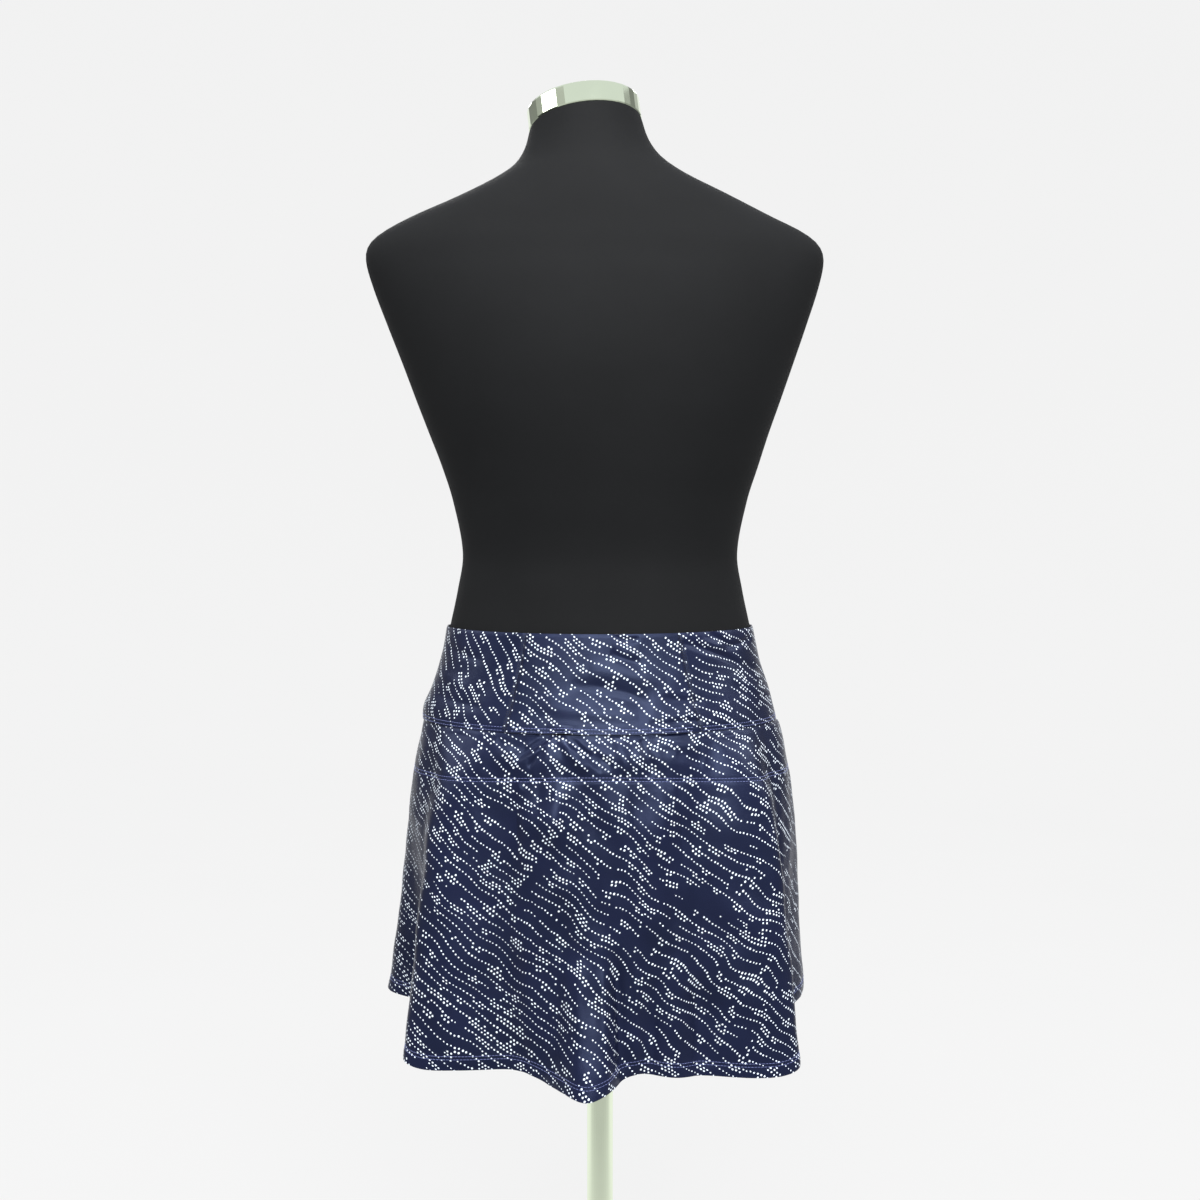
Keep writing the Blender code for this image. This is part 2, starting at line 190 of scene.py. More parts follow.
# How seams look: the edges of two panels roll in over this width and to this depth
SEAM_ROLL_WIDTH = 1.6 * MM
SEAM_ROLL_DEPTH = 0.7 * MM
YOKE_TOP_ROLL = 0.5 * MM
YOKE_FOOT_ROLL = 0.4 * MM

# The share of the creases kept at the yoke's foot and at the skirt's top, and the height over which they
# grow to the whole, how deep the yoke's creases may cut, how far it all stands out and may go inward
YOKE_FOOT_SHARE = 0.3
YOKE_FOOT_FADE = 4.0 * MM
SKIRT_TOP_SHARE = 0.2
SKIRT_TOP_FADE = 5.0 * MM
YOKE_CREASE_LIMIT = 1.7 * MM
YOKE_OUT = 0.5 * MM
YOKE_OVER_POCKET = 1.2 * MM
YOKE_INWARD_LIMIT = 1.45 * MM

# The yoke's bulge at the left hip, above its foot
BULGE_ANGLE = 4.0
BULGE_SPREAD = 16.0
BULGE_OUT = 3.0 * MM
BULGE_ABOVE = 1.2 * CM
BULGE_FALL = 1.3 * CM

# Faint waviness: the seed of its random draws, the size of its waves and their height
YOKE_RIPPLE = (5, 3.2 * CM, 0.16 * MM)
SKIRT_RIPPLE = (11, 4.5 * CM, 0.6 * MM)
LONG_RIPPLE = (12, 5.0 * CM, 0.16 * MM)
LONG_RIPPLE_ROUND = 3.0
LONG_RIPPLE_DOWN = 0.4
RIPPLE_WAVES = 9
RIPPLE_PHASES = 6.3
RIPPLE_SIZES = (0.7, 1.6)

# The back pocket: its mouth lies under the yoke seam between two angles, and its bag is stitched on below
POCKET_FROM = 49.0
POCKET_TO = 129.0
POCKET_FADE = 7.0
POCKET_SINK = 0.9 * MM
POCKET_GAP = 0.15 * MM
POCKET_FALL = 9.0 * MM
POCKET_PUFF = 2.2 * MM
PUFF_DROP = 11.0 * CM
PUFF_SPREAD = 1.3 * CM
POCKET_LINE_CENTRE_DROP = 12.9 * CM
POCKET_LINE_SIDE_DROP = 13.7 * CM

# Above the pocket's pinch the yoke's edge lifts
LIFT_ANGLE = 74.0
LIFT_SPREAD = 5.0
LIFT_FALL = 7.0 * MM
LIFT_RISE = 1.0 * MM
LIFT_OUT = 1.2 * MM

# Stitches
STITCH_LENGTH = 2.7 * MM
STITCH_PITCH = 3.1 * MM
STITCH_RADIUS = 0.23 * MM
STITCH_SIDES = 6
STITCH_PROFILE = ((-0.5, 0.0), (-0.42, 0.75), (-0.18, 1.0), (0.18, 1.0), (0.42, 0.75), (0.5, 0.0))
STITCH_LIFT = 0.45 * STITCH_RADIUS
WELD_DISTANCE = 0.005 * MM
NEEDLE_SAMPLES = 800
NEEDLE_END_GAP = 0.3
NEEDLE_REACH = 0.2
TWIN_NEEDLE_GAP = 3.0 * MM
YOKE_STITCH_INSET = 1.6 * MM
HEM_STITCH_INSET = 10.0 * MM
LADDER_INSET = 2.1 * MM
LADDER_PITCH = 2.3 * MM
LADDER_STITCH = 1.5 * MM
LADDER_RADIUS = 0.3 * MM
LADDER_LIFT = 0.4
RUNG_RADIUS = 0.2 * MM
RUNG_LIFT = 1.6
STITCH_DENT_DEPTH = 0.35 * MM
STITCH_DENT_WIDTH = 1.1 * MM

# Creases: from (angle, drop in cm) to (angle, drop in cm), the bow of the line in centimetres, the width
# and the height in millimetres. A trough's height is negative.
CREASE_COLUMN_NAMES = ("angle_a", "drop_a", "angle_b", "drop_b", "bow", "width", "height")
YOKE_CREASES = (
    (131, 0.9, 159, 3.4, -0.28, 3, -2.2),
    (158, 3.2, 176, 4.6, -0.1, 3.5, -1.3),
    (145, 0.2, 154, 1.5, -0.1, 2.6, -1.9),
    (151, 1.5, 170, 0.9, 0.1, 2.8, -1.9),
    (140, 0.7, 150, 1.6, 0, 3, 0.8),
    (151, 4.2, 176, 6.6, 0.3, 5, 1.2),
    (95, 1.7, 111, 2.7, 0.1, 4.5, -1.7),
    (96.5, 0.1, 111, 0.35, 0.3, 2.3, -1.5),
    (74, 4.7, 115, 6.3, -0.3, 7.5, -2.2),
    (84, 3.2, 122, 4.5, -0.2, 8, 1.3),
    (58, 6.2, 108, 7.4, 0.2, 7.5, 1.4),
    (119, 5.8, 138, 6.3, 0.1, 4, -1.3),
    (121, 7.9, 135, 8, 0, 2.2, -1.4),
    (112, 8.1, 126, 8.2, 0, 3, -1.2),
    (66, 8.2, 82, 8.6, 0.1, 2.2, 0.9),
    (8, 1.5, 34, 2.6, 0.15, 4, -0.9),
    (4, 3.6, 30, 5.2, 0.2, 5, 0.7),
    (12, 6.4, 40, 7.2, -0.15, 4, -0.7),
    (196, 1.4, 226, 2.2, 0.2, 4, -1.1),
    (230, 2.6, 262, 3, -0.2, 6, -0.9),
    (214, 4, 248, 5.2, 0.3, 7, 0.8),
    (266, 1.2, 298, 1.6, 0.15, 4, -1),
    (282, 4.2, 322, 3.4, 0.3, 6, -0.9),
    (304, 2, 338, 1.4, 0.2, 4, -1.1),
    (250, 6.4, 294, 6.8, -0.3, 8, 0.7),
    (312, 6.2, 346, 5.2, 0.2, 5, 0.8),
)
BACK_CREASES = (
    (69, 9, 55, 11.4, 0.1, 3.4, -3),
    (66.5, 10.1, 60.5, 12, 0, 2.4, -1.6),
    (71, 9.2, 60.5, 11.2, 0, 3.2, 1.6),
    (75, 9.2, 91.5, 12.1, -0.12, 3.4, -3),
    (72, 9.3, 84.5, 12.3, 0, 4.5, 2.6),
    (85.5, 10.3, 95.5, 11.8, 0.1, 4.5, -2.4),
    (108.5, 9.2, 112.5, 12.7, 0.1, 5.5, -3.2),
    (98, 9.3, 102, 12.6, 0.1, 6.5, 1.8),
    (112, 9.8, 132, 10.2, -0.1, 5, 2),
    (57, 17.2, 76, 16.8, 0, 24, 4.5),
    (104, 17.6, 122, 17.2, 0, 26, 3),
    (122, 10.6, 132, 11.8, 0.1, 5, -1.2),
    (46, 9.9, 59, 10.1, 0.1, 4.5, -1.9),
    (42, 10.4, 42, 13, 0.1, 7, 1),
    (137, 9.6, 134, 13, 0.1, 6, -1),
    (63, 12.6, 58, 13.8, 0, 4, -0.9),
    (76, 12.8, 71, 19, 0.4, 12, 2.2),
    (86, 13.4, 88, 24, -0.3, 14, -1.9),
    (100, 13.2, 104, 26, 0.3, 15, 1.8),
    (58, 14, 54, 25, 0.4, 12, -1.9),
    (118, 14, 120, 27, -0.3, 13, -1.8),
    (134, 15, 137, 28, 0.3, 11, 1.9),
    (53, 24, 50, 38.8, 0.3, 13, -4.5),
    (63, 25, 61.5, 39.2, 0.2, 11, 3.4),
    (74, 23, 69.5, 39.8, -0.4, 12, -4.6),
    (84, 29, 83, 41, 0.2, 10, 2.4),
    (95, 28, 99.5, 40.8, -0.2, 6.5, -5.2),
    (91, 30, 92.5, 41.2, 0.1, 6.5, 3),
    (105.5, 30, 104.5, 39.9, 0.1, 8, 2.4),
    (112, 31, 110.5, 40, 0.1, 7, -2.6),
    (120, 29, 119, 40, 0.1, 9, 1.6),
    (128, 31, 129, 39.8, 0.1, 8, -2.8),
    (137, 28, 137, 40, 0.1, 10, 2.2),
    (40, 26, 41, 39.6, 0.1, 11, 1.9),
    (157, 16, 153, 30, 0.3, 6, -2.4),
    (151, 18, 146, 31, 0.3, 7, 1.8),
    (34, 14, 30, 26, -0.2, 8, 1.4),
    (174, 12, 173, 30, 0.2, 10, -1.6),
)
FRONT_CREASES = (
    (194, 10, 197, 25, 0.3, 13, -1.4),
    (205, 12, 203, 34, 0.3, 12, 1.4),
    (222, 10.5, 224, 33, -0.4, 14, -1.8),
    (238, 13, 241, 35.5, 0.3, 11, 1.6),
    (246, 22, 245, 36, 0.2, 9, -1.8),
    (262, 11, 260, 31, 0.4, 15, -1.5),
    (274, 16, 277, 36.2, 0.2, 11, 1.5),
    (284, 11.5, 283, 29, -0.3, 14, -1.6),
    (298, 20, 300, 36, 0.2, 9, -2),
    (306, 12, 304, 33, 0.3, 13, 1.4),
    (321, 10.5, 323, 34, -0.4, 13, -1.7),
    (338, 14, 336, 35, 0.3, 11, 1.5),
    (348, 10, 350, 28, 0.2, 12, -1.4),
)

# The print: the way its dotted lines run in each panel, in degrees below the wearer's horizontal, then its
# lengths in millimetres, its shares and levels of noise, and its finish
PRINT_DIRECTIONS = {
    "yoke_back_left": 50.0,
    "yoke_back_centre": 36.0,
    "yoke_back_right": 30.0,
    "yoke_front": 36.0,
    "skirt_back": 36.0,
    "skirt_front": 33.0,
}
PRINT_SHIFT = 0.37
DOT_SMALL = 0.64
DOT_LARGE = 0.85
DOT_END_SHARE = 0.8
DOT_UNEVEN = 0.2
DOT_PITCH = 3.4
DOT_ROW_PITCH = 3.1
DOT_JITTER = 0.7
DOT_KEPT = 0.96
DOT_EDGE = 0.12
ROWS_PER_LINE = 3
LINE_WANDER = 15.0
LINE_WAVE_LENGTH = 34.0
LINE_WAVE_ACROSS = 45.0
LINE_PATCH = 26.0
LINE_SHARE = 0.325
LINE_TAPER = 0.05
LINE_STRIDE = 2.17
LINE_PLANE = 3.0
SWELL_LENGTH = 15.0
SWELL_STRIDE = 1.37
SWELL_PLANE = 7.0
SWELL_FROM = 0.4
SWELL_TO = 0.6
SWELL_BELOW = 0.575
SWELL_ABOVE = 0.73
NAVY = (0.0066, 0.0088, 0.032)
NAVY_DEEP = (0.0032, 0.005, 0.018)
PRINT_WHITE = (0.8, 0.88, 0.97)
SATIN_TINT = (0.5, 0.62, 1.0, 1.0)
SATIN_ROUGHNESS = 0.33
PRINT_ROUGHNESS = 0.55

# The other finishes: pairs of colours that mix, and the width and length of a knitted stitch, with the size
# of the specks and clouds in its colour, in millimetres
INSIDE_NAVY = ((0.012, 0.014, 0.05), (0.024, 0.028, 0.08))
FORM_BLACK = ((0.0035, 0.0038, 0.0042), (0.009, 0.0095, 0.0105))
THREAD_LIGHT_BLUE = ((0.1, 0.12, 0.28), (0.19, 0.22, 0.44))
THREAD_NAVY = ((0.003, 0.003, 0.01), (0.008, 0.009, 0.03))
CHROME_TINT = (0.9, 1.0, 0.78)
STEEL_TINT = (0.62, 0.62, 0.63)
BACKDROP_GREY = ((0.043, 0.043, 0.043), (0.05, 0.05, 0.05))
SKIRT_KNIT = (0.75, 0.6)
SKIRT_SPECK = 0.8
SKIRT_CLOUD = 60.0
INSIDE_SPECK = 1.1
FORM_KNIT = (0.9, 0.7)
FORM_SPECK = 1.0
FORM_CLOUD = 90.0

# The studio: the round cove, then the backdrop's own glow, bright in a wedge that opens from a point on the
# Y axis, dim just beside the wedge and pale further round, then the camera, and the lamps, each with its
# place and aim in metres, its width and height in metres and its power in watts
COVE_FLOOR_RADIUS = 2.4
COVE_WALL_RADIUS = 3.6
COVE_TOP = 3.2
COVE_FLOOR_RINGS = (0.02, 1.0, 1.8)
COVE_CURVE_RINGS = 16
COVE_SEGMENTS = 96
COVE_BELOW_FOOT = 0.5 * MM
GLOW_CENTRE_Y = 1.5
GLOW_NARROW = 0.4
GLOW_WIDE = 0.58
GLOW_FROM = -0.15
GLOW_TO = 0.4
GLOW_TOP_FROM = 2.5
GLOW_TOP_TO = 2.9
PALE_FROM = 0.7
PALE_TO = 2.2
GLOW_BRIGHT = 0.84
GLOW_PALE = 0.45
GLOW_DIM = 0.18
WORLD_GREY = 0.75
WORLD_TINT = (0.95, 0.97, 1.0, 1.0)
CAMERA_DISTANCE = 1.5
CAMERA_ABOVE_WAIST = 0.13
CAMERA_TILT_DOWN = 4.03
CAMERA_LENS = 46.35
CAMERA_SENSOR = 36.0
LAMP_COLUMN_NAMES = ("name", "place", "aim", "width", "height", "power")
LAMPS = (
    ("above", (0.0, 0.8, 2.9), (0.0, 0.05, 0.6), 1.6, 0.7, 56.0),
    ("behind_camera", (-0.25, 2.6, 1.75), (0.0, 0.0, 0.6), 2.6, 1.3, 80.0),
    ("right_side", (-2.1, 0.35, 1.75), (0.0, 0.0, 0.6), 1.0, 0.8, 16.0),
    ("left_side", (2.1, 0.25, 1.75), (0.0, 0.0, 0.6), 1.0, 0.8, 12.0),
    ("front", (0.3, -2.6, 2.3), (0.0, 0.0, 0.7), 1.6, 0.9, 22.0),
)


def read_table(table, names, column, wanted):
    """The column's values at the wanted values of the first column, on a smooth curve."""
    rows = np.array(table)
    keys, values = rows[:, 0], rows[:, names.index(column)]
    last = len(keys) - 1
    at = np.clip(np.searchsorted(keys, wanted, side="right") - 1, 0, last - 1)
    before, after = np.maximum(at - 1, 0), np.minimum(at + 2, last)
    span = keys[at + 1] - keys[at]
    t = np.clip((wanted - keys[at]) / span, 0.0, 1.0)
    slope_low = (values[at + 1] - values[before]) / (keys[at + 1] - keys[before]) * span
    slope_high = (values[after] - values[at]) / (keys[after] - keys[at]) * span
    return (
        (2 * t**3 - 3 * t**2 + 1) * values[at]
        + (t**3 - 2 * t**2 + t) * slope_low
        + (3 * t**2 - 2 * t**3) * values[at + 1]
        + (t**3 - t**2) * slope_high
    )


def section_radius(table, names, wanted, degrees):
    """Distance from a section's centre to its edge, half an ellipse behind and half in front, in metres."""
    angle = np.radians(degrees)
    wide = read_table(table, names, "half_width", wanted)
    back = read_table(table, names, "back", wanted)
    front = read_table(table, names, "front", wanted)
    depth = np.where(np.sin(angle) >= 0, back, front)
    return CM / np.hypot(np.cos(angle) / wide, np.sin(angle) / depth)


def hem_drop(degrees):
    """How far below the waistband's top edge the hem lies."""
    first = HEM_LINE[0][0]
    closed = HEM_LINE + tuple((a + FULL_TURN, d) for a, d in HEM_LINE[:2])
    wanted = (degrees - first) % FULL_TURN + first
    return read_table(closed, HEM_COLUMN_NAMES, "drop", wanted) * CM


def fold_rise(degrees, drop):
    """How far the folds push the skirt outward."""
    bottom = hem_drop(degrees)
    total = np.zeros_like(drop)
    for row in SKIRT_FOLDS:
        fold = dict(zip(FOLD_COLUMN_NAMES, row))
        begins = fold["begins"] * CM
        opened = np.clip((drop - begins) / (bottom - begins), 0.0, None) ** fold["lateness"]
        offset = (degrees - fold["angle"] + FULL_TURN / 2) % FULL_TURN - FULL_TURN / 2
        spread = np.where(offset < 0, fold["spread_before"], fold["spread_after"])
        share = np.cos(0.5 * np.pi * np.clip(offset / spread, -1.0, 1.0)) ** 2
        total += fold["rise"] * MM * opened * share
    return total


def round_points(radius, degrees, drop):
    angle = np.radians(degrees)
    return np.stack((radius * np.cos(angle), radius * np.sin(angle), WAIST_Z - drop), axis=-1)


def yoke_surface(degrees, drop):
    radius = section_radius(FORM_SECTIONS, FORM_COLUMN_NAMES, -drop / CM, degrees)
    return round_points(radius + CLOTH_TO_FORM + YOKE_WALL, degrees, drop)


def skirt_surface(degrees, drop):
    radius = section_radius(SKIRT_SECTIONS, SKIRT_COLUMN_NAMES, drop / CM, degrees)
    return round_points(radius + fold_rise(degrees, drop), degrees, drop)


def outward(points):
    """The direction out of a grid of points whose rows go down and whose columns go anticlockwise."""
    normal = np.cross(np.gradient(points, axis=0), np.gradient(points, axis=1))
    return normal / np.linalg.norm(normal, axis=-1, keepdims=True)


def lengths_along(points, axis):
    """Distance along the grid's rows (axis 1) or columns (axis 0), from the first point."""
    steps = np.linalg.norm(np.diff(points, axis=axis), axis=-1)
    first = np.zeros_like(np.take(steps, [0], axis=axis))
    return np.cumsum(np.concatenate((first, steps), axis=axis), axis=axis)


def crease_relief(table, degrees, drop):
    """The height of the creases in a table, as soft troughs and ridges that fade at both ends."""
    total = np.zeros_like(drop)
    for row in table:
        crease = dict(zip(CREASE_COLUMN_NAMES, row))
        start = np.array((crease["angle_a"] * CREASE_SCALE, crease["drop_a"] * CM))
        end = np.array((crease["angle_b"] * CREASE_SCALE, crease["drop_b"] * CM))
        length = np.linalg.norm(end - start)
        along = (end - start) / length
        x, y = degrees * CREASE_SCALE - start[0], drop - start[1]
        t = (x * along[0] + y * along[1]) / length
        off = x * -along[1] + y * along[0] - crease["bow"] * CM * 4 * t * (1 - t)
        fade = np.clip(1 - (2 * t - 1) ** 4, 0.0, None)
        total += crease["height"] * MM * fade * np.exp(-((off / (crease["width"] * MM)) ** 2))
    return total


def ripple(degrees, drop, seed, size, height):
    """A faint uneven waviness, from waves of mixed direction."""
    dice = np.random.RandomState(seed)
    total = np.zeros_like(drop)
    for _ in range(RIPPLE_WAVES):
        turn = dice.uniform(0, math.pi)
        phase = dice.uniform(0, RIPPLE_PHASES)
        scale = dice.uniform(*RIPPLE_SIZES)
        wave = 2 * math.pi / (size * scale)
        waves_round = round(FULL_TURN * CREASE_SCALE / (size * scale) * math.cos(turn))
        total += np.sin(np.radians(degrees) * waves_round + drop * wave * math.sin(turn) + phase)
    return total * height / math.sqrt(RIPPLE_WAVES)


def kept_near_edge(distance, share, width):
    """How much of a relief is kept near an edge: a share at the edge itself, and all of it past a width."""
    return share + (1 - share) * np.clip(distance / width, 0.0, 1.0)


def pocket_share(degrees):
    """1 over the pocket's mouth, falling to 0 past both its ends."""
    rise = np.clip((degrees - POCKET_FROM) / POCKET_FADE + 0.5, 0.0, 1.0)
    fall = np.clip((POCKET_TO - degrees) / POCKET_FADE + 0.5, 0.0, 1.0)
    share = np.minimum(rise, fall)
    return share * share * (3 - 2 * share)


def pocket_line_drop(degrees):
    """The drop of the line that holds the pocket bag, a little lower at the sides."""
    side = np.abs(np.cos(np.radians(degrees))) ** 2
    return POCKET_LINE_CENTRE_DROP + (POCKET_LINE_SIDE_DROP - POCKET_LINE_CENTRE_DROP) * side


def dent(distance):
    """The groove that a pair of needle lines pulls into the cloth."""
    lines = (distance, distance - TWIN_NEEDLE_GAP)
    return -STITCH_DENT_DEPTH * sum(np.exp(-((d / STITCH_DENT_WIDTH) ** 2)) for d in lines)


def graded(length, fine_from, fine_to, fine_step, coarse_step):
    """Shares of a length from 0 to 1, close together between two places and further apart elsewhere."""
    stops = [0.0, min(max(fine_from, 0.0), length), min(fine_to, length), length]
    places = [0.0]
    for low, high, step in zip(stops, stops[1:], (coarse_step, fine_step, coarse_step)):
        count = math.ceil((high - low) / step)
        places += list(np.linspace(low, high, count + 1)[1:]) if count else []
    return np.array(places) / length


class Panel:
    """A cloth panel as a fine grid, with its place on the body, its form and its flat lengths."""

    def __init__(self, name, surface, seams, top, bottom, shares):
        self.name = name
        self.left, self.right = seams
        self.top, self.bottom = top, bottom
        self.column_shares, self.row_shares = shares
        share, across = np.meshgrid(self.row_shares, self.column_shares, indexing="ij")
        start = self.left[0] + (self.left[1] - self.left[0]) * share
        end = self.right[0] + (self.right[1] - self.right[0]) * share
        trim = np.degrees(SEAM_GAP / 2 / BODY_RADIUS)
        self.degrees = start + trim + (end - start - 2 * trim) * across
        self.drop = top + (bottom(self.degrees) - top) * share
        self.points = surface(self.degrees, self.drop)
        self.measure()

    def measure(self):
        self.normals = outward(self.points)
        self.along = lengths_along(self.points, 1)
        self.down = lengths_along(self.points, 0)
        self.from_end = self.along[:, -1:] - self.along
        self.from_bottom = self.down[-1:, :] - self.down

    def push(self, relief):
        """Moves the points out by a relief in metres."""
        self.points = self.points + self.normals * relief[..., None]
        self.measure()

    def roll(self, distance, depth=SEAM_ROLL_DEPTH):
        """The relief of an edge that rolls in."""
        return -depth * np.exp(-((distance / SEAM_ROLL_WIDTH) ** 2))

    def at(self, degrees, drop):
        """Points and outward directions of the finished surface at these places."""
        share = (drop - self.top) / (self.bottom(degrees) - self.top)
        start = self.left[0] + (self.left[1] - self.left[0]) * share
        end = self.right[0] + (self.right[1] - self.right[0]) * share
        row = np.interp(share, self.row_shares, np.arange(len(self.row_shares)))
        across = (degrees - start) / (end - start)
        column = np.interp(across, self.column_shares, np.arange(len(self.column_shares)))
        return panel_places(self, row, column)


def grid_faces(rows, columns, first=0):
    """Quads between the rows of a grid of vertex numbers."""
    r, c = np.meshgrid(np.arange(rows - 1), np.arange(columns - 1), indexing="ij")
    corner = first + r * columns + c
    return np.stack((corner, corner + columns, corner + columns + 1, corner + 1), axis=-1).reshape(-1, 4)


def mesh_object(name, vertices, faces, materials):
    mesh = bpy.data.meshes.new(name)
    mesh.from_pydata(vertices.tolist(), [], faces)
    for finish in materials:
        mesh.materials.append(finish)
    mesh.shade_smooth()
    made = bpy.data.objects.new(name, mesh)
    bpy.context.scene.collection.objects.link(made)
    return made


def set_uv(mesh, layer, coordinates):
    """A UV layer from one coordinate for each vertex."""
    vertex_of_loop = np.empty(len(mesh.loops), dtype=np.int32)
    mesh.loops.foreach_get("vertex_index", vertex_of_loop)
    uv = mesh.uv_layers.new(name=layer)
    uv.data.foreach_set("uv", coordinates[vertex_of_loop].astype(np.float32).ravel())


def panel_shell(panel, materials, hemmed):
    """The panel as a thin shell, with its inner side plain and its hem turned up."""
    rows, columns = panel.drop.shape
    wall = np.full(panel.drop.shape, SHELL_WALL)
    if hemmed:
        above_hem = (panel.from_bottom - HEM_DEPTH) / HEM_EDGE_SOFTNESS
        wall += (HEM_DOUBLE_WALL - SHELL_WALL) / (1 + np.exp(above_hem))
    inner = panel.points - panel.normals * wall[..., None]
    vertices = np.concatenate((panel.points.reshape(-1, 3), inner.reshape(-1, 3)))
    count = rows * columns
    outer_faces = grid_faces(rows, columns)
    inner_faces = grid_faces(rows, columns, count)[:, ::-1]
    index = np.arange(count).reshape(rows, columns)
    rim = np.concatenate((index[0], index[1:, -1], index[-1, -2::-1], index[-2:0:-1, 0]))
    following = np.roll(rim, -1)
    rim_faces = np.stack((rim, following, following + count, rim + count), axis=-1)
    faces = np.concatenate((outer_faces, inner_faces, rim_faces))
    made = mesh_object(panel.name + "_cloth", vertices, faces.tolist(), materials)
    turned_up = hemmed * (panel.from_bottom[:-1, :-1].ravel() < HEM_DEPTH)
    side = np.concatenate((np.zeros(len(outer_faces)), 1 - turned_up, np.ones(len(rim_faces))))
    made.data.polygons.foreach_set("material_index", side.astype(np.int32))
    made.data.set_sharp_from_angle(angle=math.radians(CLOTH_SHARP_ANGLE))

    middle = columns // 2
    across = panel.along - panel.along[:, middle : middle + 1]
    flat = np.stack((across, panel.down), axis=-1).reshape(-1, 2)
    turn = math.radians(PRINT_DIRECTIONS[panel.name])
    cosine, sine = math.cos(turn), math.sin(turn)
    a, b = flat[:, 0], flat[:, 1]
    turned = np.stack((a * cosine + b * sine, b * cosine - a * sine), axis=-1)
    shift = np.array((list(PRINT_DIRECTIONS).index(panel.name) * PRINT_SHIFT + 1.0, 1.0))
    set_uv(made.data, "cloth", np.tile(flat + 1.0, (2, 1)))
    set_uv(made.data, "print", np.tile(turned + shift, (2, 1)))
    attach(made, "root")
    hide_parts(panel.name)
    return made


def stitches(name, centres, along, out, length, radius, finish):
    """A row of stitches, each a short rounded thread, as one mesh."""
    turn = 2 * np.pi * np.arange(STITCH_SIDES) / STITCH_SIDES
    profile = [(place * length, share * radius) for place, share in STITCH_PROFILE]
    local = np.array([(x, d * math.cos(t), d * math.sin(t)) for x, d in profile for t in turn])
    ring, side = np.meshgrid(np.arange(len(profile) - 1), np.arange(STITCH_SIDES), indexing="ij")
    following = (side + 1) % STITCH_SIDES
    low, high = ring * STITCH_SIDES, (ring + 1) * STITCH_SIDES
    one = np.stack((low + side, high + side, high + following, low + following), axis=-1).reshape(-1, 4)
    along = along / np.linalg.norm(along, axis=-1, keepdims=True)
    across = np.cross(out, along)
    vertices = (
        centres[:, None]
        + along[:, None] * local[None, :, 0:1]
        + across[:, None] * local[None, :, 1:2]
        + out[:, None] * local[None, :, 2:3]
    )
    offsets = np.arange(len(centres))[:, None, None] * len(local)
    faces = (one[None] + offsets).reshape(-1, 4).tolist()
    made = mesh_object(name, vertices.reshape(-1, 3), faces, [finish])
    weld = made.modifiers.new("Close ends", "WELD")
    weld.merge_threshold = WELD_DISTANCE
    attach(made, "root")


def even_steps(points, pitch):
    """Fractional places along a line of points that are one pitch apart."""
    along = lengths_along(points[None], 1)[0]
    wanted = np.arange(pitch, along[-1] - pitch, pitch)
    return np.interp(wanted, along, np.arange(len(along)))


def needle_line(panel, name, drop_at, finish, inset=0.0):
    """A line of stitches round a panel at the drop that a function gives for each angle."""
    middle = panel.degrees[len(panel.degrees) // 2]
    degrees = np.linspace(middle[0] + NEEDLE_END_GAP, middle[-1] - NEEDLE_END_GAP, NEEDLE_SAMPLES)
    points, _ = panel.at(degrees, drop_at(degrees) + inset)
    steps = even_steps(points, STITCH_PITCH)
    places = np.interp(steps, np.arange(len(degrees)), degrees)
    centres, out = panel.at(places, drop_at(places) + inset)
    ahead, _ = panel.at(places + NEEDLE_REACH, drop_at(places + NEEDLE_REACH) + inset)
    behind, _ = panel.at(places - NEEDLE_REACH, drop_at(places - NEEDLE_REACH) + inset)
    lifted = centres + out * STITCH_LIFT
    stitches(name, lifted, ahead - behind, out, STITCH_LENGTH, STITCH_RADIUS, finish)


